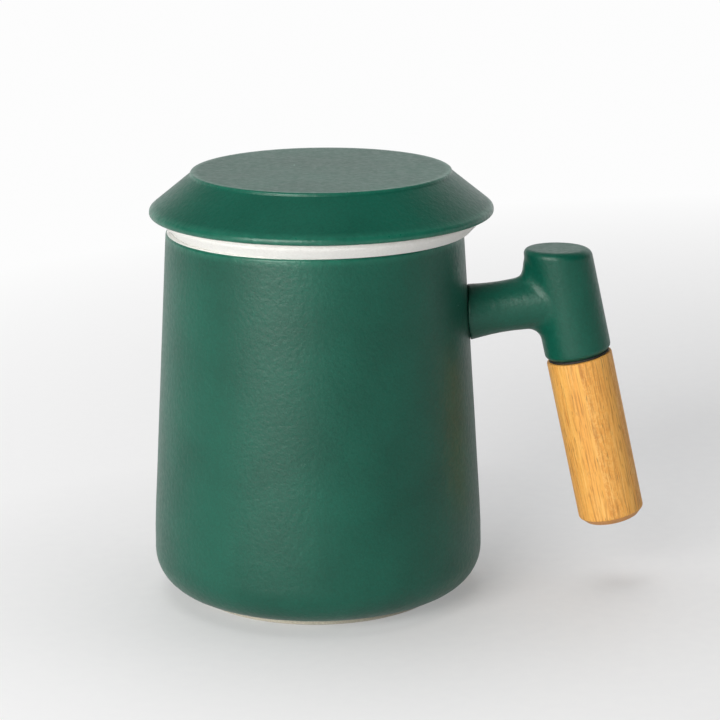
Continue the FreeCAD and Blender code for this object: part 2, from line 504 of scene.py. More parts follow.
@dataclass(frozen=True)
class SatinGlaze:
    """A deep green satin-matt glaze with orange peel, thin edges painted lighter as a highlight, and a
    few pinholes.

    Args:
        deep: colour where it lies thick.
        fresh: colour of the lighter clouds.
        thin: colour where it runs thin over an edge, lightened there as a painted highlight.
        speck: colour of a pinhole.
        gleam: tint of what it mirrors face on.
        cloud_mm: size of one cloud.
        mottle_mm: size of the fine mottling.
        mottle: how dark and how light the mottling makes it.
        ragged_mm: size of the tatters along a thin edge.
        edge_highlight_show: how much of the thin colour, with its painted highlight, an edge shows.
        edge_shine: how much smoother an edge is.
        peel_mm: size of one dimple of the orange peel.
        peel_depth_mm: depth of a dimple.
        matt_mm: size of the fine bumps that make it matt.
        matt_depth_mm: height of those bumps.
        roughness: its smoothest and its roughest.
        pinholes_apart_mm: how far apart pinholes can lie.
        pinhole_core: a pinhole's plain part, as a share of that.
        pinhole_reach: its faded edge, as a share of that.
        pinhole_left_out: the share of places that stay without one.
        pinhole_show: how much of its colour a pinhole shows.
    """

    deep: Colour = (0.0009, 0.068, 0.043)
    fresh: Colour = (0.0022, 0.086, 0.055)
    # lighter than the glaze: thin glaze, and a painted highlight along the edge roundings
    thin: Colour = (0.024, 0.180, 0.118)
    speck: Colour = (0.42, 0.62, 0.52)
    gleam: tuple[float, float, float, float] = (0.94, 1.0, 0.97, 1.0)
    cloud_mm: float = 22.0
    mottle_mm: float = 0.55
    mottle: tuple[float, float] = (0.88, 1.14)
    ragged_mm: float = 1.8
    edge_highlight_show: float = 0.5
    edge_shine: float = 0.12
    peel_mm: float = 1.25
    peel_depth_mm: float = 0.085
    matt_mm: float = 0.45
    matt_depth_mm: float = 0.032
    roughness: tuple[float, float] = (0.38, 0.46)
    pinholes_apart_mm: float = 13.0
    pinhole_core: float = 0.018
    pinhole_reach: float = 0.028
    pinhole_left_out: float = 0.55
    pinhole_show: float = 0.8

    def material(self) -> bpy.types.Material:
        """Build the material.

        Returns:
            The finished material.
        """
        graph = Graph("satin_green_glaze")
        clouds = graph.spread(graph.grain(self.cloud_mm, detail=3.0), 0.35, 0.65)
        colour = graph.blend(clouds, self.deep, self.fresh)
        tint = graph.add("ShaderNodeVectorMath", operation="SCALE")
        graph.feed(tint.inputs[0], colour)
        graph.feed(tint.inputs["Scale"], graph.vary(graph.grain(self.mottle_mm), *self.mottle))
        ragged = graph.vary(graph.grain(self.ragged_mm, detail=3.0), 0.45, 1.0)
        edge = graph.product(graph.attribute("thin_glaze_highlight"), ragged)
        # the thin colour on edge roundings is thin glaze and a painted highlight
        colour = graph.blend(graph.product(edge, self.edge_highlight_show), tint.outputs[0], self.thin)
        colour = graph.blend(self._pinholes(graph), colour, self.speck)
        peel = graph.grain(self.peel_mm, detail=1.2, roughness=0.45, twist=0.15)
        normal = graph.relief(peel, self.peel_depth_mm)
        normal = graph.relief(graph.grain(self.matt_mm), self.matt_depth_mm, under=normal)
        rough = graph.maths("SUBTRACT", graph.vary(peel, *self.roughness),
                            graph.product(edge, self.edge_shine))
        graph.shader_set(Base_Color=colour, Roughness=rough, Normal=normal, IOR=1.46,
                         Specular_Tint=self.gleam, Sheen_Weight=0.05, Sheen_Roughness=0.30)
        return graph.material

    def _pinholes(self, graph: Graph) -> Socket:
        """Scatter a few tiny pale points.

        Args:
            graph: the graph to add to.

        Returns:
            How much of the speck's colour shows: 0 away from a pinhole.
        """
        cells = graph.add("ShaderNodeTexVoronoi")
        graph.feed(cells.inputs["Vector"], graph.place)
        cells.inputs["Scale"].default_value = 1 / (self.pinholes_apart_mm * MM)
        hit = graph.spread(cells.outputs["Distance"], self.pinhole_core, self.pinhole_reach, 1.0, 0.0)
        chance = graph.fed("ShaderNodeSeparateColor", cells.outputs["Color"]).outputs[0]
        present = graph.maths("GREATER_THAN", chance, self.pinhole_left_out)
        return graph.product(graph.product(hit, present), self.pinhole_show)


@dataclass(frozen=True)
class WhiteGlaze:
    """The clear white glaze inside the mug and on the infuser's basket.

    Args:
        colour: its colour.
        pooled: its colour where it lies thick.
        cloud_mm: size of one thick patch.
        wave_mm: size of the soft waves in its surface.
        wave_depth_mm: depth of a wave.
        roughness: its smoothest and its roughest.
    """

    colour: Colour = (0.83, 0.83, 0.80)
    pooled: Colour = (0.76, 0.78, 0.76)
    cloud_mm: float = 18.0
    wave_mm: float = 3.0
    wave_depth_mm: float = 0.02
    roughness: tuple[float, float] = (0.10, 0.17)

    def material(self) -> bpy.types.Material:
        """Build the material.

        Returns:
            The finished material.
        """
        graph = Graph("clear_white_glaze")
        clouds = graph.spread(graph.grain(self.cloud_mm, detail=3.0), 0.35, 0.7)
        wave = graph.grain(self.wave_mm, detail=1.5)
        graph.shader_set(Base_Color=graph.blend(clouds, self.colour, self.pooled),
                         Roughness=graph.vary(wave, *self.roughness),
                         Normal=graph.relief(wave, self.wave_depth_mm), IOR=1.5)
        return graph.material


@dataclass(frozen=True)
class BareClay:
    """Fired clay with no glaze: dry, fine-grained and faintly speckled.

    Args:
        name: the material's name.
        colour: its main colour.
        shade: the colour of its darker grains.
        grain_mm: the size of a grain.
        grain_depth_mm: how far a grain stands out.
        cloud_mm: the size of the patches with more dark grains.
        roughness: its smoothest and its roughest.
    """

    name: str
    colour: Colour
    shade: Colour
    grain_mm: float = 0.45
    grain_depth_mm: float = 0.05
    cloud_mm: float = 6.0
    roughness: tuple[float, float] = (0.78, 0.92)

    def material(self) -> bpy.types.Material:
        """Build the material.

        Returns:
            The finished material.
        """
        graph = Graph(self.name)
        grains = graph.grain(self.grain_mm, detail=3.0, roughness=0.6)
        clouds = graph.vary(graph.grain(self.cloud_mm, detail=3.0), 0.5, 1.0)
        share = graph.product(graph.spread(grains, 0.35, 0.7), clouds)
        graph.shader_set(Base_Color=graph.blend(share, self.colour, self.shade),
                         Roughness=graph.vary(grains, *self.roughness),
                         Normal=graph.relief(grains, self.grain_depth_mm), IOR=1.45)
        return graph.material


@dataclass(frozen=True)
class Streaks:
    """One kind of streak in the wood, drawn out along the dowel.

    Args:
        width_mm: how wide a streak is.
        squeeze: its width as a share of its length.
        starts: the noise at which it begins to show.
        full: the noise at which it shows fully.
        show: how much of its colour it then gives.
        detail: how many finer layers it has.
        roughness: how strong the finer layers are.
        twist: how much it wavers.
    """

    width_mm: float
    squeeze: float
    starts: float = 0.0
    full: float = 1.0
    show: float = 1.0
    detail: float = 3.0
    roughness: float = 0.5
    twist: float = 0.0

    def noise(self, graph: Graph, along: Socket) -> Socket:
        """Make the streaks' noise.

        Args:
            graph: the graph to add to.
            along: coordinates with Z along the dowel, in metres.

        Returns:
            The noise, from 0 to 1.
        """
        mapping = graph.add("ShaderNodeMapping")
        graph.feed(mapping.inputs["Vector"], along)
        mapping.inputs["Scale"].default_value = (1, 1, self.squeeze)
        return graph.grain(self.width_mm, self.detail, self.roughness,
                           mapping.outputs["Vector"], self.twist)

    def share(self, graph: Graph, noise_value: Socket) -> Socket:
        """Turn the streaks' noise into how much of their colour shows."""
        return graph.spread(noise_value, self.starts, self.full, 0.0, self.show)


@dataclass(frozen=True)
class OiledBeech:
    """Oiled beech: straight bands, a sharp ring line, wavy fleck and short dark pores.

    Args:
        light: colour of the pale bands.
        warm: colour of the darker bands.
        brown: colour of the fine fibres.
        fleck: colour of the wavy fleck.
        pore: colour of the pores.
        sanded: colour of the sanded end.
        bands: the broad bands.
        waves: the wavy fleck, which shows just past a ring line.
        pale: the fine pale fibres.
        threads: the fine brown fibres.
        pores: the pores.
        ring_show: how much of the darker colour a ring line shows.
        wave_show: how much of the fleck's colour the waves show.
        end_show: how much of the sanded colour the end shows.
        relief_mm: how deep the fibres and pores are.
        roughness: its smoothest and its roughest.
        ring_apart_mm: from ring line to ring line.
        first_ring_mm: how far the ring lines are shifted across the dowel.
        ring_bend_mm: how far a ring line wanders.
        sway: the slow bends that it wanders by.
        ring_way: the direction across the rings, along X and along Y.
    """

    light: Colour = (0.89, 0.485, 0.112)
    warm: Colour = (0.75, 0.312, 0.055)
    brown: Colour = (0.46, 0.175, 0.036)
    fleck: Colour = (0.92, 0.57, 0.18)
    pore: Colour = (0.20, 0.065, 0.016)
    sanded: Colour = (0.56, 0.255, 0.085)
    bands: Streaks = Streaks(3.2, 0.05, starts=0.36, full=0.64, show=0.55)
    waves: Streaks = Streaks(0.9, 0.8, starts=0.42, full=0.60, roughness=0.6, twist=0.9)
    pale: Streaks = Streaks(0.6, 0.05, starts=0.52, full=0.70, show=0.6, detail=2.0)
    threads: Streaks = Streaks(0.42, 0.06, starts=0.48, full=0.70, show=0.75)
    pores: Streaks = Streaks(0.36, 0.10, starts=0.66, full=0.76, show=0.7, detail=1.0)
    ring_show: float = 0.85
    wave_show: float = 0.55
    end_show: float = 0.8
    relief_mm: float = 0.03
    roughness: tuple[float, float] = (0.46, 0.6)
    ring_apart_mm: float = 9.0
    first_ring_mm: float = 3.4
    ring_bend_mm: float = 1.6
    sway: Streaks = Streaks(30.0, 0.3, detail=1.0)
    ring_way: tuple[float, float] = (0.93, 0.37)

    def material(self) -> bpy.types.Material:
        """Build the material.

        Returns:
            The finished material.
        """
        graph = Graph("oiled_beech")
        along = graph.add("ShaderNodeAttribute", attribute_name="grip_place").outputs["Vector"]
        rings = self._ring_line(graph, along)
        bands = self.bands.share(graph, self.bands.noise(graph, along))
        colour = graph.blend(bands, self.light, self.warm)
        colour = graph.blend(graph.product(rings, self.ring_show), colour, self.warm)
        waves = graph.product(self.waves.share(graph, self.waves.noise(graph, along)), rings)
        colour = graph.blend(graph.product(waves, self.wave_show), colour, self.fleck)
        pale = self.pale.share(graph, self.pale.noise(graph, along))
        colour = graph.blend(pale, colour, self.fleck)
        threads = self.threads.noise(graph, along)
        colour = graph.blend(self.threads.share(graph, threads), colour, self.brown)
        pores = self.pores.share(graph, self.pores.noise(graph, along))
        colour = graph.blend(pores, colour, self.pore)
        end = graph.product(graph.attribute("end_grain"), self.end_show)
        graph.shader_set(Base_Color=graph.blend(end, colour, self.sanded),
                         Roughness=graph.vary(threads, *self.roughness),
                         Normal=graph.relief(graph.maths("SUBTRACT", threads, pores), self.relief_mm),
                         IOR=1.45)
        return graph.material

    def _ring_line(self, graph: Graph, along: Socket) -> Socket:
        """Make growth rings that start sharply and fade, cut lengthways.

        Args:
            graph: the graph to add to.
            along: coordinates with Z along the dowel, in metres.

        Returns:
            1 just past a ring's line, falling to 0 before the next.
        """
        apart = graph.fed("ShaderNodeSeparateXYZ", along)
        bend = self.sway.noise(graph, along)
        across = graph.maths("ADD", graph.product(apart.outputs["X"], self.ring_way[0]),
                             graph.product(apart.outputs["Y"], self.ring_way[1]))
        across = graph.maths("ADD", across, graph.product(bend, self.ring_bend_mm * MM))
        across = graph.maths("ADD", across, self.first_ring_mm * MM)
        phase = graph.maths("FRACT", graph.maths("DIVIDE", across, self.ring_apart_mm * MM))
        return graph.spread(phase, 0.0, 1.0, 1.0, 0.0)


@dataclass(frozen=True)
class TurnedMetal:
    """Machined metal with fine tool marks.

    Args:
        name: the material's name.
        colour: its colour.
        worn: how much of that colour a mark keeps.
        mark_mm: the size of a tool mark.
        mark_depth_mm: its depth.
        roughness: its smoothest and its roughest.
    """

    name: str
    colour: Colour
    worn: float = 0.75
    mark_mm: float = 0.4
    mark_depth_mm: float = 0.01
    roughness: tuple[float, float] = (0.3, 0.45)

    def material(self) -> bpy.types.Material:
        """Build the material.

        Returns:
            The finished material.
        """
        graph = Graph(self.name)
        marks = graph.grain(self.mark_mm)
        dull = tuple(channel * self.worn for channel in self.colour)
        graph.shader_set(Base_Color=graph.blend(graph.vary(marks), self.colour, dull),
                         Roughness=graph.vary(marks, *self.roughness), Metallic=1.0,
                         Normal=graph.relief(marks, self.mark_depth_mm))
        return graph.material


@dataclass(frozen=True)
class DarkRubberShadowLine:
    """The thin washer's dark, slightly dusty rubber, near black so that it also paints the shadow line
    between knuckle and grip.

    Args:
        colour: its colour, near black, which also paints the shadow line at the joint.
        bloom: the colour of its dusty patches.
        patch_mm: the size of a patch.
        patch_depth_mm: how far a patch stands out.
        roughness: its smoothest and its roughest.
    """

    # near black: dark rubber, and a painted shadow line between knuckle and grip
    colour: Colour = (0.012, 0.012, 0.011)
    bloom: Colour = (0.035, 0.033, 0.030)
    patch_mm: float = 0.8
    patch_depth_mm: float = 0.02
    roughness: tuple[float, float] = (0.6, 0.75)

    def material(self) -> bpy.types.Material:
        """Build the material.

        Returns:
            The finished material.
        """
        graph = Graph("dark_rubber_shadow_line")
        dust = graph.grain(self.patch_mm, detail=3.0)
        graph.shader_set(Base_Color=graph.blend(graph.spread(dust, 0.4, 0.7), self.colour, self.bloom),
                         Roughness=graph.vary(dust, *self.roughness),
                         Normal=graph.relief(dust, self.patch_depth_mm))
        return graph.material


@dataclass(frozen=True)
class Finishes:
    """The finishes shared by the ceramic pieces, built once.

    Args:
        glaze: the green outside.
        lining: the white inside.
        foot: the bare clay of the foot.
        rim: the bare white clay of the infuser's rim.
    """

    glaze: bpy.types.Material
    lining: bpy.types.Material
    foot: bpy.types.Material
    rim: bpy.types.Material

    @classmethod
    def build(cls) -> "Finishes":
        """Build the shared materials.

        Returns:
            The finishes.
        """
        foot = BareClay("bare_cream_clay", (0.66, 0.62, 0.52), (0.50, 0.45, 0.36))
        rim = BareClay("bare_white_clay", (0.87, 0.86, 0.84), (0.79, 0.78, 0.755),
                       grain_mm=0.6, grain_depth_mm=0.07)
        return cls(SatinGlaze().material(), WhiteGlaze().material(), foot.material(), rim.material())


def stand_in(name: str, mesh: bpy.types.Mesh, body: str, node: str,
             materials: list[bpy.types.Material]) -> bpy.types.Object:
    """Show a mesh in place of a node.

    Args:
        name: the piece's name.
        mesh: its mesh, in the shared frame.
        body: the body that it moves with.
        node: the node that it stands for.
        materials: its materials, in slot order.

    Returns:
        The new piece.
    """
    piece = bpy.data.objects.new(name, mesh)
    bpy.context.scene.collection.objects.link(piece)
    for material in materials:
        mesh.materials.append(material)
    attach(piece, body)
    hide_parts(node)
    return piece


def apply_modifiers(piece: bpy.types.Object) -> None:
    """Turn a piece's modifiers into plain mesh.

    Args:
        piece: the piece, which keeps its name and its mesh's name.
    """
    graph = bpy.context.evaluated_depsgraph_get()
    finished = bpy.data.meshes.new_from_object(piece.evaluated_get(graph))
    finished.name = piece.data.name
    piece.modifiers.clear()
    piece.data = finished


@dataclass
class MugBody:
    """The turned cup: rounded base, soft taper, plain rim and a bare foot ring.

    Args:
        finishes: the shared materials.
        wall_mm: the wall's thickness.
        base_mm: the base's thickness.
        corner_mm: how high over the base the straight side begins.
        side_bend_mm: the radius of the bend from belly to taper.
        rim_radius_mm: the rim's outer radius.
        rim_rounding_mm: the rounding on both sides of the rim.
        foot_radius_mm: the foot ring's outer radius.
        foot_width_mm: the foot ring's width.
        foot_lift_mm: how far the base stands off the table.
        foot_rounding_mm: the rounding of the ring's lower edges.
        recess_rounding_mm: the rounding where the ring meets the base inside.
        turn_under_mm: the radius that the side turns under with.
        glaze_step_mm: how far over the foot ring the glaze starts, outside and inside.
        segments: how many faces go round.
        low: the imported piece's lowest corner.
        high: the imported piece's highest corner.
    """

    finishes: Finishes
    wall_mm: float = 3.8
    base_mm: float = 5.2
    corner_mm: float = 11.5
    side_bend_mm: float = 200.0
    rim_radius_mm: float = 40.15
    rim_rounding_mm: float = 0.9
    foot_radius_mm: float = 34.4
    foot_width_mm: float = 3.6
    foot_lift_mm: float = 1.7
    foot_rounding_mm: float = 0.7
    recess_rounding_mm: float = 0.6
    turn_under_mm: float = 10.6
    glaze_step_mm: tuple[float, float] = (0.06, 0.05)
    segments: int = 288
    low: Vector = field(default_factory=lambda: Vector(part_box("mug_body")[0]))
    high: Vector = field(default_factory=lambda: Vector(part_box("mug_body")[1]))

    def outline(self) -> Outline:
        """Set out the cup, from the middle of the underside round to the inside.

        Returns:
            The cup's outline.
        """
        height = self.high.z / MM
        belly = (self.high.y - self.low.y) / 2 / MM
        run = height - self.foot_lift_mm - self.corner_mm
        lean = math.atan2(belly - self.rim_radius_mm, run)
        bend_z = self.foot_lift_mm + self.corner_mm + self.side_bend_mm * math.tan(lean / 2)
        floor_z = self.foot_lift_mm + self.base_mm
        inner_corner = self.corner_mm - self.base_mm
        ring_in = self.foot_radius_mm - self.foot_width_mm
        # the base is glazed inside the ring too, and the ring itself is bare
        glaze_line, under_z = (self.foot_lift_mm + step for step in self.glaze_step_mm)
        return Outline((
            Corner(0, under_z),
            Corner(ring_in, under_z, self.recess_rounding_mm, Surface.BARE),
            Corner(ring_in, 0, self.foot_rounding_mm, Surface.BARE),
            Corner(self.foot_radius_mm, 0, self.foot_rounding_mm, Surface.BARE),
            Corner(self.foot_radius_mm, glaze_line),
            Corner(belly, self.foot_lift_mm, self.turn_under_mm),
            Corner(belly, bend_z, self.side_bend_mm),
            Corner(self.rim_radius_mm, height, self.rim_rounding_mm, Surface.LINING),
            Corner(self.rim_radius_mm - self.wall_mm, height, self.rim_rounding_mm, Surface.LINING),
            Corner(belly - self.wall_mm, bend_z, self.side_bend_mm, Surface.LINING),
            Corner(belly - self.wall_mm, floor_z, inner_corner, Surface.LINING),
            Corner(0, floor_z, surface=Surface.LINING),
        ))

    def build(self) -> list[bpy.types.Object]:
        """Build and dress the cup.

        Returns:
            The finished piece, alone in a list.
        """
        mesh = turned_mesh("mug_shell", self.outline(), self.segments, Casting())
        finishes = [self.finishes.glaze, self.finishes.lining, self.finishes.foot]
        return [stand_in("mug_shell", mesh, "mug", "mug_body", finishes)]


@dataclass
class GripAxis:
    """The leaning axis that the knuckle and the grip share.

    Args:
        x_mm: where the arm's axis meets it.
        z_mm: the height there.
        lean_deg: how far its foot swings out.
    """

    x_mm: float = 68.2
    z_mm: float = 81.2
    lean_deg: float = 12.0

    def placed(self, mesh: bpy.types.Mesh) -> bpy.types.Mesh:
        """Move a mesh from the Z axis onto the grip's axis.

        Args:
            mesh: a mesh about the Z axis, with its zero at the arm's height.

        Returns:
            The same mesh, moved, with its old place kept in grip_place.
        """
        kept = mesh.attributes.new("grip_place", "FLOAT_VECTOR", "POINT")
        places = [0.0] * (3 * len(mesh.vertices))
        mesh.vertices.foreach_get("co", places)
        kept.data.foreach_set("vector", places)
        mesh.transform(self.placement())
        return mesh

    def placement(self) -> Matrix:
        """Return the move from the Z axis onto the grip's axis."""
        turn = Matrix.Rotation(math.radians(-self.lean_deg), 4, "Y")
        return Matrix.Translation((self.x_mm * MM, 0, self.z_mm * MM)) @ turn


@dataclass
class Handle:
    """The arm with its knuckle, the washer, the wooden grip and the hidden hardware.

    Args:
        finishes: the shared materials.
        axis: the grip's axis.
        knuckle_below_mm: from the arm's height down to the knuckle's foot.
        washer_mm: the washer's thickness.
        washer_radius_mm: the washer's outer radius.
        washer_play_mm: the room between the screw and the washer's hole.
        stud_radius_mm: the screw's outer radius.
        stud_fit_mm: the room between the screw and what it screws into.
        grip_radius_mm: the dowel's radius.
        grip_length_mm: the dowel's length.
        chamfer_mm: the chamfer on the dowel's end.
        stud_in_wood_mm: how deep the screw goes into the wood.
        pilot_past_mm: how far the pilot hole goes past the screw.
        insert_mm: the sleeve's length.
        insert_radius_mm: the sleeve's outer radius.
        insert_grooves: how many grooves go round the sleeve.
        groove_mm: how deep a groove is.
        arm_grid_mm: the grid on which the arm's surface is made even.
        arm_smoothings: how many times it is then smoothed.
        level_from_mm: the height over the arm where the top starts to turn level.
        level_over_mm: the height that it takes.
        level_reach_mm: how far toward the arm the level top reaches.
        level_fade_mm: how fast it ends there.
    """

    finishes: Finishes
    axis: GripAxis = field(default_factory=GripAxis)
    knuckle_below_mm: float = 16.4
    washer_mm: float = 0.6
    washer_radius_mm: float = 8.3
    washer_play_mm: float = 0.3
    stud_radius_mm: float = 3.0
    stud_fit_mm: float = 0.05
    grip_radius_mm: float = 9.0
    grip_length_mm: float = 47.0
    chamfer_mm: float = 1.8
    stud_in_wood_mm: float = 24.0
    pilot_past_mm: float = 1.0
    insert_mm: float = 12.0
    insert_radius_mm: float = 4.8
    insert_grooves: int = 3
    groove_mm: float = 0.35
    arm_grid_mm: float = 0.36
    arm_smoothings: int = 6
    level_from_mm: float = 6.5
    level_over_mm: float = 4.0
    level_reach_mm: float = 9.6
    level_fade_mm: float = 2.0

    def build(self) -> list[bpy.types.Object]:
        """Build every piece of the handle and return them."""
        return [self._arm(), self._washer(), self._grip(), self._stud(), self._insert()]

    def _arm(self) -> bpy.types.Object:
        """Make the glazed arm: the cast form with its edges softened as glaze softens them.

        Returns:
            The finished piece.
        """
        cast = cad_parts["handle_arm"].data.copy()
        cast.name = "arm_casting"
        cast.materials.clear()
        piece = stand_in("arm_casting", cast, "mug", "handle_arm", [])
        weld = piece.modifiers.new("weld", "WELD")
        weld.merge_threshold = 0.002 * MM
        even = piece.modifiers.new("even", "REMESH")
        even.mode = "VOXEL"
        even.voxel_size = self.arm_grid_mm * MM
        soften = piece.modifiers.new("soften", "SMOOTH")
        soften.iterations = self.arm_smoothings
        soften.factor = 0.5
        apply_modifiers(piece)
        self._level_top(piece.data)
        piece.data.materials.append(self.finishes.glaze)
        piece.data.shade_smooth()
        return piece

    def _level_top(self, mesh: bpy.types.Mesh) -> None:
        """Bring the knuckle's top level, as it was trimmed, though its sides lean.

        Args:
            mesh: the arm, in the mug's frame.
        """
        placement = self.axis.placement()
        upright = placement.inverted()
        rise = math.tan(math.radians(self.axis.lean_deg))
        for vertex in mesh.vertices:
            place = upright @ vertex.co
            height = (place.z / MM - self.level_from_mm) / self.level_over_mm
            share = min(max(height, 0.0), 1.0)
            beside = (place.x / MM + self.level_reach_mm) / self.level_fade_mm
            share *= min(max(1.0 + beside, 0.0), 1.0)
            if share > 0:
                eased = share * share * (3 - 2 * share)
                place.z -= eased * rise * place.x
                vertex.co = placement @ place

    def _washer(self) -> bpy.types.Object:
        """Make the dark washer, whose near-black rubber also paints the shadow line under the knuckle.

        Returns:
            The finished piece.
        """
        top = -self.knuckle_below_mm
        foot = top - self.washer_mm
        hole = self.stud_radius_mm + self.washer_play_mm
        outline = Outline((
            Corner(hole, foot, 0.1),
            Corner(self.washer_radius_mm, foot, 0.2),
            Corner(self.washer_radius_mm, top, 0.2),
            Corner(hole, top, 0.1),
        ), longest_mm=0.8, arc_step_deg=30)
        mesh = self.axis.placed(turned_mesh("grip_washer", outline, segments=96))
        return stand_in("grip_washer", mesh, "mug", "washer", [DarkRubberShadowLine().material()])

    def _grip(self) -> bpy.types.Object:
        """Make the wooden dowel with its chamfered end and pilot hole.

        Returns:
            The finished piece.
        """
        top = -self.knuckle_below_mm - self.washer_mm
        foot = top - self.grip_length_mm
        pilot = self.stud_radius_mm + self.stud_fit_mm
        pilot_end = top - self.stud_in_wood_mm - self.pilot_past_mm
        outline = Outline((
            Corner(0, foot),
            Corner(self.grip_radius_mm - self.chamfer_mm, foot, 0.7),
            Corner(self.grip_radius_mm, foot + self.chamfer_mm, 0.9),
            Corner(self.grip_radius_mm, top, 0.45),
            Corner(pilot, top, 0.1),
            Corner(pilot, pilot_end),
            Corner(0, pilot_end),
        ), longest_mm=0.9)
        sanding = Casting(depth_mm=0.03, patch_mm=6.0)
        mesh = turned_mesh("grip_dowel", outline, segments=144, casting=sanding)
        end = mesh.attributes.new("end_grain", "FLOAT", "POINT")
        sanded_below = (foot + self.chamfer_mm - 0.1) * MM
        end.data.foreach_set("value", [float(point.co.z < sanded_below) for point in mesh.vertices])
        return stand_in("grip_dowel", self.axis.placed(mesh), "mug", "wood_grip",
                        [OiledBeech().material()])

    def _stud(self) -> bpy.types.Object:
        """Make the double-ended screw with its two threads.

        Returns:
            The finished piece.
        """
        steel = TurnedMetal("zinc_plated_steel", (0.60, 0.60, 0.58))
        seat = -self.knuckle_below_mm
        machine = Thread(self.stud_radius_mm, seat, seat + self.insert_mm, pitch=1.0, depth=0.55)
        point = seat - self.washer_mm - self.stud_in_wood_mm
        wood = Thread(self.stud_radius_mm, point, seat, pitch=2.4, depth=0.75, taper=5.0)
        mesh = threaded_rod("stud_screw", (wood, machine))
        return stand_in("stud_screw", self.axis.placed(mesh), "mug", "handle_stud", [steel.material()])

    def _insert(self) -> bpy.types.Object:
        """Make the bonded sleeve with its grooves.

        Returns:
            The finished piece.
        """
        brass = TurnedMetal("turned_brass", (0.72, 0.50, 0.20))
        foot = -self.knuckle_below_mm
        top = foot + self.insert_mm
        outer = self.insert_radius_mm
        inner = self.stud_radius_mm + self.stud_fit_mm
        corners = [Corner(inner, foot, 0.1), Corner(outer, foot, 0.2)]
        for groove in range(1, self.insert_grooves + 1):
            z = foot + groove * self.insert_mm / (self.insert_grooves + 1)
            corners += [Corner(outer, z - 0.5), Corner(outer - self.groove_mm, z - 0.2),
                        Corner(outer - self.groove_mm, z + 0.2), Corner(outer, z + 0.5)]
        corners += [Corner(outer, top, 0.2), Corner(inner, top, 0.1)]
        outline = Outline(tuple(corners), longest_mm=1.0, arc_step_deg=30)
        mesh = self.axis.placed(turned_mesh("bonded_sleeve", outline, segments=72))
        return stand_in("bonded_sleeve", mesh, "mug", "threaded_insert", [brass.material()])


@dataclass(frozen=True)
class Thread:
    """One threaded length of a rod, in millimetres.

    Args:
        radius: over the crests.
        low: where it starts.
        high: where it ends.
        pitch: from crest to crest.
        depth: from crest to root.
        taper: the length over which its low end comes to a point, or 0 for a blunt end.
        tip: the share of the radius that is left at the point.
    """

    radius: float
    low: float
    high: float
    pitch: float
    depth: float
    taper: float = 0.0
    tip: float = 0.04

    def radius_at(self, z: float, angle: float) -> float:
        """Work out how far the thread stands out.

        Args:
            z: the height.
            angle: the angle round the rod, in radians.

        Returns:
            The rod's radius there.
        """
        phase = (z / self.pitch - angle / FULL_TURN) % 1.0
        # a pointed thread runs out over its last turn
        fade = min(1.0, (self.high - z) / self.pitch) if self.taper else 1.0
        crest = self.radius - self.depth * abs(2 * phase - 1) * max(0.0, fade)
        if self.taper and z < self.low + self.taper:
            return crest * max(self.tip, (z - self.low) / self.taper)
        return crest


def threaded_rod(name: str, threads: tuple[Thread, ...], segments: int = 48) -> bpy.types.Mesh:
    """Make a rod from threaded lengths laid end to end.

    Args:
        name: the mesh's name.
        threads: the lengths, lowest first.
        segments: how many faces go round.

    Returns:
        A closed mesh about the Z axis, in metres.
    """
    rings_per_pitch = 8
    # each ring sits a hair high, so that the first of a length is clear of the one below
    lift = 0.001
    heights: list[tuple[float, Thread]] = []
    for thread in threads:
        run = thread.high - thread.low
        steps = math.ceil(run / thread.pitch * rings_per_pitch)
        heights += [(thread.low + run * (step + lift) / steps, thread) for step in range(steps)]
    heights.append((threads[-1].high, threads[-1]))
    points = []
    for z, thread in heights:
        for step in range(segments):
            angle = FULL_TURN * step / segments
            radius = thread.radius_at(z, angle)
            points.append(Vector((radius * math.cos(angle), radius * math.sin(angle), z)) * MM)
    faces = []
    for ring in range(len(heights) - 1):
        for step in range(segments):
            ahead = (step + 1) % segments
            base = ring * segments
            faces.append([base + step, base + ahead, base + segments + ahead, base + segments + step])
    last = (len(heights) - 1) * segments
    faces.append(list(range(segments - 1, -1, -1)))
    faces.append([last + step for step in range(segments)])
    return smooth_mesh(name, points, faces)


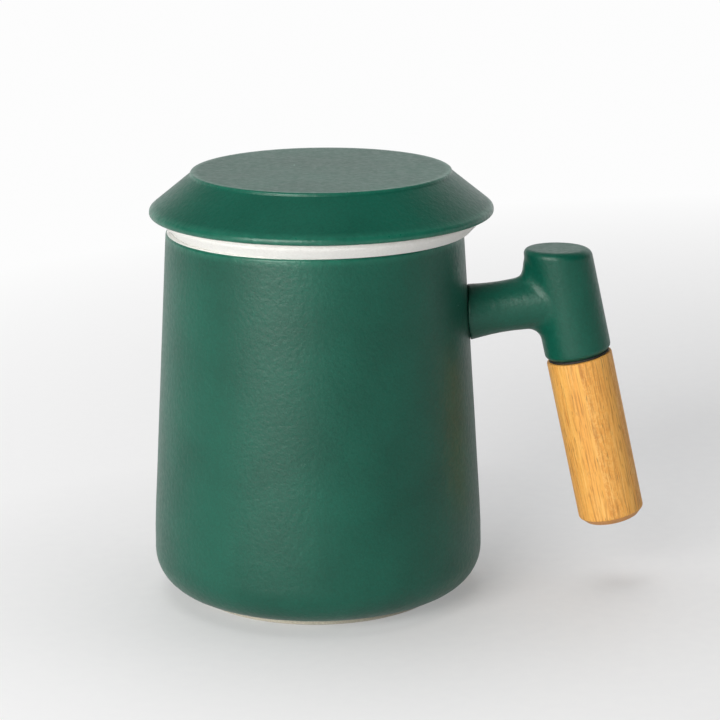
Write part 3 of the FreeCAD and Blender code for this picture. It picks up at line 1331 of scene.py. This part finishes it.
@dataclass
class Infuser:
    """The perforated basket whose flared bare rim sits on the mug and carries the lid.

    Args:
        finishes: the shared materials.
        rim_radius_mm: the mug's rim.
        neck_radius_mm: the basket's radius just under the rim.
        foot_radius_mm: the basket's radius at its foot.
        flare_radius_mm: the rim's largest radius.
        flare_rise_mm: how far up the flare ends.
        flare_rounding_mm: the rounding where it ends.
        seat_height_mm: the rim's height above the mug's rim.
        seat_width_mm: the width of the seat that carries the lid.
        seat_rounding_mm: the rounding of the seat's two edges.
        seat_play_mm: how far inside the mug's rim the flare starts.
        throat_drop_mm: where the inside flare starts, below the mug's rim.
        throat_rounding_mm: the rounding where it starts.
        wall_mm: the wall's thickness.
        wall_bend_mm: the radius of the bend from upright wall to taper.
        floor_mm: the floor's thickness.
        corner_mm: the rounding of the basket's foot.
        hole_radius_mm: the radius of a hole.
        hole_segments: how many faces go round a hole.
        drill_mm: the length of a drill.
        drill_in_mm: how far inside the wall's outer face a drill's middle lies.
        rows: rows of holes in the wall.
        holes_per_row: holes in one row.
        row_pitch_mm: from row to row.
        lowest_row_mm: from the basket's foot up to the lowest row.
        plain_above_rows_mm: how far past the top row the wall stays upright.
        floor_rings: rings of holes in the floor.
        ring_pitch_mm: from ring to ring.
        first_ring_holes: holes in the inner ring; each later ring has as many more.
        crease_deg: the angle from which an edge shows as a crease.
        segments: how many faces go round.
        seat_on_mug_mm: the height of the mug's rim.
        low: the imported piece's lowest corner.
        high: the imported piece's highest corner.
    """

    finishes: Finishes
    rim_radius_mm: float = MugBody.rim_radius_mm
    neck_radius_mm: float = 33.65
    foot_radius_mm: float = 31.45
    flare_radius_mm: float = 42.9
    flare_rise_mm: float = 2.9
    flare_rounding_mm: float = 1.4
    seat_height_mm: float = 4.6
    seat_width_mm: float = 3.4
    seat_rounding_mm: float = 0.9
    seat_play_mm: float = 0.05
    throat_drop_mm: float = 3.2
    throat_rounding_mm: float = 5.0
    wall_mm: float = 2.8
    wall_bend_mm: float = 20.0
    floor_mm: float = 3.0
    corner_mm: float = 6.0
    hole_radius_mm: float = 1.4
    hole_segments: int = 24
    drill_mm: float = 9.0
    drill_in_mm: float = 1.0
    rows: int = 3
    holes_per_row: int = 12
    row_pitch_mm: float = 7.0
    lowest_row_mm: float = 11.0
    plain_above_rows_mm: float = 4.0
    floor_rings: int = 2
    ring_pitch_mm: float = 8.5
    first_ring_holes: int = 5
    crease_deg: float = 35.0
    segments: int = 240
    seat_on_mug_mm: float = field(default_factory=lambda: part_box("mug_body")[1][2] / MM)
    low: Vector = field(default_factory=lambda: Vector(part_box("infuser")[0]))
    high: Vector = field(default_factory=lambda: Vector(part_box("infuser")[1]))

    @property
    def foot_z(self) -> float:
        """The height of the basket's foot, in millimetres."""
        return self.low.z / MM

    @property
    def slip(self) -> float:
        """How far the loose basket lies off the mug's axis, in millimetres."""
        return (self.low.x + self.high.x) / 2 / MM

    def outline(self) -> Outline:
        """Set out the basket, from the middle of its underside round to the inside.

        Returns:
            The basket's outline.
        """
        rim = self.seat_on_mug_mm
        top = rim + self.seat_height_mm
        floor = self.foot_z + self.floor_mm
        rows_high = self.lowest_row_mm + (self.rows - 1) * self.row_pitch_mm
        upright = self.foot_z + rows_high + self.plain_above_rows_mm
        seat = self.seat_rounding_mm
        inside = self.foot_radius_mm - self.wall_mm
        lined, bare = Surface.LINING, Surface.BARE
        return Outline((
            Corner(0, self.foot_z, surface=lined),
            Corner(self.foot_radius_mm, self.foot_z, self.corner_mm, lined),
            Corner(self.foot_radius_mm, upright, self.wall_bend_mm, lined),
            Corner(self.neck_radius_mm, rim, 0.3, bare),
            Corner(self.rim_radius_mm - self.seat_play_mm, rim, 0.25, bare),
            Corner(self.flare_radius_mm, rim + self.flare_rise_mm, self.flare_rounding_mm, bare),
            Corner(self.flare_radius_mm, top, seat, bare),
            Corner(self.flare_radius_mm - self.seat_width_mm, top, seat, lined),
            Corner(self.neck_radius_mm - self.wall_mm, rim - self.throat_drop_mm,
                   self.throat_rounding_mm, lined),
            Corner(inside, upright, self.wall_bend_mm, lined),
            Corner(inside, floor, self.corner_mm - self.wall_mm, lined),
            Corner(0, floor, surface=lined),
        ))

    def build(self) -> list[bpy.types.Object]:
        """Build, drill and dress the basket.

        Returns:
            The finished piece, alone in a list.
        """
        mesh = turned_mesh("infuser_shell", self.outline(), self.segments, shift_mm=self.slip)
        finishes = [self.finishes.glaze, self.finishes.lining, self.finishes.rim]
        piece = stand_in("infuser_shell", mesh, "infuser_basket", "infuser", finishes)
        drill = self._drills()
        cut = piece.modifiers.new("drill", "BOOLEAN")
        cut.operation = "DIFFERENCE"
        cut.object = drill
        cut.solver = "EXACT"
        apply_modifiers(piece)
        bpy.data.objects.remove(drill)
        piece.data.shade_smooth()
        piece.data.set_sharp_from_angle(angle=math.radians(self.crease_deg))
        return [piece]

    def _drills(self) -> bpy.types.Object:
        """Make one object that holds every drill.

        Returns:
            The drills, for a boolean cut.
        """
        shape = bmesh.new()
        for row in range(self.rows):
            z = self.foot_z + self.lowest_row_mm + row * self.row_pitch_mm
            for hole in range(self.holes_per_row):
                angle = (hole + row % 2 / 2) * FULL_TURN / self.holes_per_row
                outward = Vector((math.cos(angle), math.sin(angle), 0))
                centre = outward * (self.foot_radius_mm - self.drill_in_mm) + UP * z
                self._add_drill(shape, centre, outward)
        floor = UP * (self.foot_z + self.floor_mm / 2)
        self._add_drill(shape, floor, UP)
        for ring in range(1, self.floor_rings + 1):
            reach = ring * self.ring_pitch_mm
            count = self.first_ring_holes * ring
            for hole in range(count):
                angle = hole * FULL_TURN / count
                side = Vector((reach * math.cos(angle), reach * math.sin(angle), 0))
                self._add_drill(shape, floor + side, UP)
        mesh = bpy.data.meshes.new("drills")
        shape.to_mesh(mesh)
        shape.free()
        for _ in Surface:
            mesh.materials.append(self.finishes.lining)
        mesh.polygons.foreach_set("material_index", [Surface.LINING.value] * len(mesh.polygons))
        drill = bpy.data.objects.new("drills", mesh)
        bpy.context.scene.collection.objects.link(drill)
        return drill

    def _add_drill(self, shape: bmesh.types.BMesh, centre: Vector, direction: Vector) -> None:
        """Add one drill.

        Args:
            shape: the mesh to add to.
            centre: the drill's middle, in millimetres.
            direction: the way it points.
        """
        turn = UP.rotation_difference(direction).to_matrix().to_4x4()
        centre = centre + Vector((self.slip, 0, 0))
        radius = self.hole_radius_mm * MM
        bmesh.ops.create_cone(shape, cap_ends=True, segments=self.hole_segments,
                              radius1=radius, radius2=radius, depth=self.drill_mm * MM,
                              matrix=Matrix.Translation(centre * MM) @ turn)


@dataclass
class Lid:
    """The loose lid: flat disc, cone, rounded lip, hollow underside and locating ring.

    Args:
        finishes: the shared materials.
        lip_height_mm: the lip's height.
        lip_rounding_mm: the rounding of its lower edge.
        brow_rounding_mm: the rounding from the lip to the cone.
        cone_width_mm: the cone's width, seen from above.
        cone_slope_deg: the cone's slope.
        shoulder_rounding_mm: the rounding from the cone to the flat top.
        disc_rounding_mm: the rounding of the flat top's edge.
        thickness_mm: the top's thickness.
        hollow_rounding_mm: the rounding of the hollow's corner.
        ring_depth_mm: how far the locating ring reaches down.
        ring_radius_mm: the ring's outer radius.
        ring_wall_mm: the ring's thickness.
        ring_rounding_mm: the rounding of the ring's edges.
        bare_to_mm: how far from the rim's edge the bare seat ends.
        segments: how many faces go round.
        low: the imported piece's lowest corner.
        high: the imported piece's highest corner.
    """

    finishes: Finishes
    lip_height_mm: float = 1.6
    lip_rounding_mm: float = 0.7
    brow_rounding_mm: float = 1.5
    cone_width_mm: float = 11.15
    cone_slope_deg: float = 39.0
    shoulder_rounding_mm: float = 0.8
    disc_rounding_mm: float = 0.6
    thickness_mm: float = 4.6
    hollow_rounding_mm: float = 3.0
    ring_depth_mm: float = 3.0
    ring_radius_mm: float = 33.97
    ring_wall_mm: float = 3.4
    ring_rounding_mm: float = 0.9
    bare_to_mm: float = 2.2
    segments: int = 288
    low: Vector = field(default_factory=lambda: Vector(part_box("lid")[0]))
    high: Vector = field(default_factory=lambda: Vector(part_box("lid")[1]))

    def outline(self) -> Outline:
        """Set out the lid, from the middle of the hollow round to the top.

        Returns:
            The lid's outline.
        """
        radius = (self.high.y - self.low.y) / 2 / MM
        disc = radius - self.cone_width_mm
        ring_foot = self.low.z / MM
        seat = ring_foot + self.ring_depth_mm
        brow = seat + self.lip_height_mm
        shoulder = brow + self.cone_width_mm * math.tan(math.radians(self.cone_slope_deg))
        top = self.high.z / MM
        ceiling = top - self.thickness_mm
        hollow = self.ring_radius_mm - self.ring_wall_mm
        edge = self.ring_rounding_mm
        return Outline((
            Corner(0, ceiling),
            Corner(hollow, ceiling, self.hollow_rounding_mm),
            Corner(hollow, ring_foot, edge),
            Corner(self.ring_radius_mm, ring_foot, edge),
            Corner(self.ring_radius_mm, seat, edge, Surface.BARE),
            Corner(radius - self.bare_to_mm, seat),
            Corner(radius, seat, self.lip_rounding_mm),
            Corner(radius, brow, self.brow_rounding_mm),
            Corner(disc, shoulder, self.shoulder_rounding_mm),
            Corner(disc, top, self.disc_rounding_mm),
            Corner(0, top),
        ))

    def build(self) -> list[bpy.types.Object]:
        """Build and dress the lid.

        Returns:
            The finished piece, alone in a list.
        """
        slip = (self.low.x + self.high.x) / 2 / MM
        casting = Casting(depth_mm=0.05, patch_mm=16.0)
        mesh = turned_mesh("lid_shell", self.outline(), self.segments, casting, slip)
        finishes = [self.finishes.glaze, self.finishes.lining, self.finishes.foot]
        return [stand_in("lid_shell", mesh, "lid_cover", "lid", finishes)]


@dataclass
class Camera:
    """The photograph's viewpoint: far off, a little above, looking along +Y.

    Args:
        place: where the camera stands.
        yaw: turned to the right, in radians.
        pitch: tilted down, in radians.
        roll: rolled, in radians.
        focal_px: the focal length in pixels of a frame 720 wide.
    """

    place: Place = (0.0, -0.700, 0.24119)
    yaw: float = 0.0170137
    pitch: float = 0.2479038
    roll: float = -0.007648
    focal_px: float = 2647.864

    def build(self) -> bpy.types.Object:
        """Make the scene's camera.

        Returns:
            The camera.
        """
        frame_px = 720
        sensor_mm = 36.0
        data = bpy.data.cameras.new("photo_camera")
        data.sensor_width = sensor_mm
        data.lens = self.focal_px / frame_px * sensor_mm
        data.clip_start = 0.01
        ahead = Vector((math.sin(self.yaw) * math.cos(self.pitch),
                        math.cos(self.yaw) * math.cos(self.pitch), -math.sin(self.pitch)))
        level = Vector((math.cos(self.yaw), -math.sin(self.yaw), 0))
        above = level.cross(ahead)
        right = math.cos(self.roll) * level + math.sin(self.roll) * above
        up = -math.sin(self.roll) * level + math.cos(self.roll) * above
        pose = Matrix((right, up, -ahead)).transposed().to_4x4()
        pose.translation = Vector(self.place)
        camera = bpy.data.objects.new("photo_camera", data)
        camera.matrix_world = pose
        bpy.context.scene.collection.objects.link(camera)
        bpy.context.scene.camera = camera
        return camera


@dataclass(frozen=True)
class SoftBox:
    """One large soft lamp.

    Args:
        name: its name.
        place: where it hangs.
        aim: the point that it faces.
        size: its width and height.
        watts: its power.
        colour: its colour.
        glares: whether glossy surfaces mirror it.
    """

    name: str
    place: Place
    aim: Place
    size: tuple[float, float]
    watts: float
    colour: Colour = (1.0, 1.0, 1.0)
    glares: bool = True

    def build(self) -> bpy.types.Object:
        """Hang the lamp.

        Returns:
            The lamp.
        """
        data = bpy.data.lights.new(self.name, "AREA")
        data.shape = "RECTANGLE"
        data.size, data.size_y = self.size
        data.energy = self.watts
        data.color = self.colour
        lamp = bpy.data.objects.new(self.name, data)
        lamp.location = self.place
        toward = Vector(self.aim) - Vector(self.place)
        lamp.rotation_euler = toward.to_track_quat("-Z", "Y").to_euler()
        lamp.visible_glossy = self.glares
        bpy.context.scene.collection.objects.link(lamp)
        return lamp


@dataclass
class Studio:
    """The pale floor, the lamps and the light of the room.

    Args:
        floor_half: half the floor's side.
        paper: the floor's colour.
        fibre: the colour of its fibres.
        fibre_mm: the size of a fibre.
        fibre_depth_mm: how far a fibre stands out.
        backdrop: how white the paper looks far behind the mug.
        glow_near: how much of that white shows beside the mug.
        sweep_middle: the place on the floor that the white fades from.
        sweep: how far from there the paper starts to fade to white, and has done so.
        foot_shade: how much of that white is left at the mug's foot.
        foot_reach: how far from the mug's axis the shade starts to lift, and has gone.
        room: how strongly the room lights the object.
        room_front: how bright the room is behind the camera.
        room_above: how bright the room is overhead.
        room_lean: the way up, leaning from the side where the room darkens lower down.
        mirror_turn: how far back a mirrored ray looks where the room starts to brighten,
            and where it is white.
        mirror_rise: how far up it looks where the room starts to darken, and is dark.
        light_turn: how far back the room starts to light the object, and fully does.
        lamps: the lamps.
    """

    floor_half: float = 12.0
    paper: Colour = (0.80, 0.80, 0.81)
    fibre: Colour = (0.78, 0.78, 0.795)
    fibre_mm: float = 4.0
    fibre_depth_mm: float = 0.004
    backdrop: Colour = (0.98, 0.98, 0.98)
    glow_near: float = 0.38
    sweep_middle: Place = (0.24, 0.06, 0.0)
    sweep: tuple[float, float] = (0.15, 0.52)
    foot_shade: float = 0.55
    foot_reach: tuple[float, float] = (0.05, 0.13)
    room: float = 0.22
    room_front: float = 0.02
    room_above: float = 0.05
    room_lean: Place = (-0.35, 0.0, 1.0)
    mirror_turn: tuple[float, float] = (0.10, 0.80)
    mirror_rise: tuple[float, float] = (0.25, 0.85)
    light_turn: tuple[float, float] = (-0.15, 0.55)
    lamps: tuple[SoftBox, ...] = (
        SoftBox("key", (-0.68, -1.10, 0.50), (0, 0, 0.06), (0.95, 0.75), 20.8, (1.0, 0.985, 0.95)),
        SoftBox("top", (-0.15, 0.20, 1.3), (0, 0, 0.05), (1.1, 0.9), 7.5, glares=False),
        SoftBox("fill", (1.25, 0.05, 0.45), (0, 0, 0.06), (0.60, 0.60), 2.5, glares=False),
    )

    def build(self) -> None:
        """Lay the floor, hang the lamps and set the room's light."""
        self._floor()
        for lamp in self.lamps:
            lamp.build()
        self._room_light()
        bpy.context.scene.view_settings.view_transform = "Standard"

    def _floor(self) -> None:
        """Lay the floor, which the camera sees as white far off and sees through from below."""
        half = self.floor_half
        mesh = bpy.data.meshes.new("studio_floor")
        mesh.from_pydata([(-half, -half, 0), (half, -half, 0), (half, half, 0), (-half, half, 0)],
                         [], [(0, 1, 2, 3)])
        floor = bpy.data.objects.new("studio_floor", mesh)
        bpy.context.scene.collection.objects.link(floor)
        graph = Graph("pale_paper")
        fibres = graph.grain(self.fibre_mm, detail=3.0)
        graph.shader_set(Base_Color=graph.blend(graph.vary(fibres), self.paper, self.fibre),
                         Roughness=graph.vary(fibres, 0.6, 0.7),
                         Normal=graph.relief(fibres, self.fibre_depth_mm))
        paths = graph.add("ShaderNodeLightPath")
        seen = paths.outputs["Is Camera Ray"]
        glow = graph.fed("ShaderNodeEmission", opaque(self.backdrop))
        veiled = graph.fed("ShaderNodeMixShader", self._veil(graph, paths),
                           graph.shader.outputs[0], glow.outputs[0])
        below = graph.add("ShaderNodeNewGeometry").outputs["Backfacing"]
        clear = graph.add("ShaderNodeBsdfTransparent")
        either = graph.fed("ShaderNodeMixShader", graph.product(below, seen),
                           veiled.outputs[0], clear.outputs[0])
        graph.feed(graph.tree.nodes["Material Output"].inputs["Surface"], either.outputs[0])
        mesh.materials.append(graph.material)

    def _veil(self, graph: Graph, paths: bpy.types.Node) -> Socket:
        """Work out how white the floor looks at each place.

        Args:
            graph: the floor's nodes.
            paths: the node that tells which kind of ray looks.

        Returns:
            0 where the paper shows as it is lit, and 1 where it is all white.
        """
        reach = graph.fed("ShaderNodeVectorMath", graph.place, self.sweep_middle,
                          operation="DISTANCE").outputs["Value"]
        foot = graph.fed("ShaderNodeVectorMath", graph.place, operation="LENGTH").outputs["Value"]
        far = graph.spread(reach, *self.sweep)
        veil = graph.product(graph.spread(far, 0.0, 1.0, self.glow_near, 1.0),
                             graph.spread(foot, *self.foot_reach, self.foot_shade, 1.0))
        mirrored = graph.maths("MAXIMUM", paths.outputs["Is Glossy Ray"],
                               paths.outputs["Is Transmission Ray"])
        return graph.maths("MAXIMUM", graph.product(veil, paths.outputs["Is Camera Ray"]),
                           graph.product(far, mirrored))

    def _room_light(self) -> None:
        """Make a room that is white behind the mug and dim behind the camera."""
        world = bpy.data.worlds.new("studio_room")
        bpy.context.scene.world = world
        world.use_nodes = True
        nodes = Nodes(world.node_tree)
        way = nodes.add("ShaderNodeTexCoord").outputs["Generated"]
        back = nodes.fed("ShaderNodeSeparateXYZ", way).outputs["Y"]
        upward = nodes.fed("ShaderNodeVectorMath", way, self.room_lean,
                           operation="DOT_PRODUCT").outputs["Value"]
        behind = nodes.spread(back, *self.mirror_turn, self.room_front, 1.0, soft=True)
        above = nodes.spread(upward, *self.mirror_rise, 1.0, self.room_above, soft=True)
        light = nodes.spread(back, *self.light_turn, 0.0, self.room, soft=True)
        paths = nodes.add("ShaderNodeLightPath")
        mirrored = nodes.maths("MAXIMUM", paths.outputs["Is Glossy Ray"],
                               paths.outputs["Is Transmission Ray"])
        strength = nodes.maths("MAXIMUM", light,
                               nodes.product(nodes.product(behind, above), mirrored))
        strength = nodes.maths("MAXIMUM", strength, paths.outputs["Is Camera Ray"])
        background = nodes.tree.nodes["Background"]
        nodes.feed(background.inputs["Color"], (1, 1, 1, 1))
        nodes.feed(background.inputs["Strength"], strength)


def main() -> None:
    """Build the studio and the mug, piece by piece, and report each piece."""
    logging.basicConfig(level=logging.INFO, format="%(name)s: %(message)s")
    Camera().build()
    Studio().build()
    finishes = Finishes.build()
    for assembly in (MugBody(finishes), Handle(finishes), Infuser(finishes), Lid(finishes)):
        for piece in assembly.build():
            log.info("%s: %d faces", piece.name, len(piece.data.polygons))


if __name__ == "__main__":
    main()
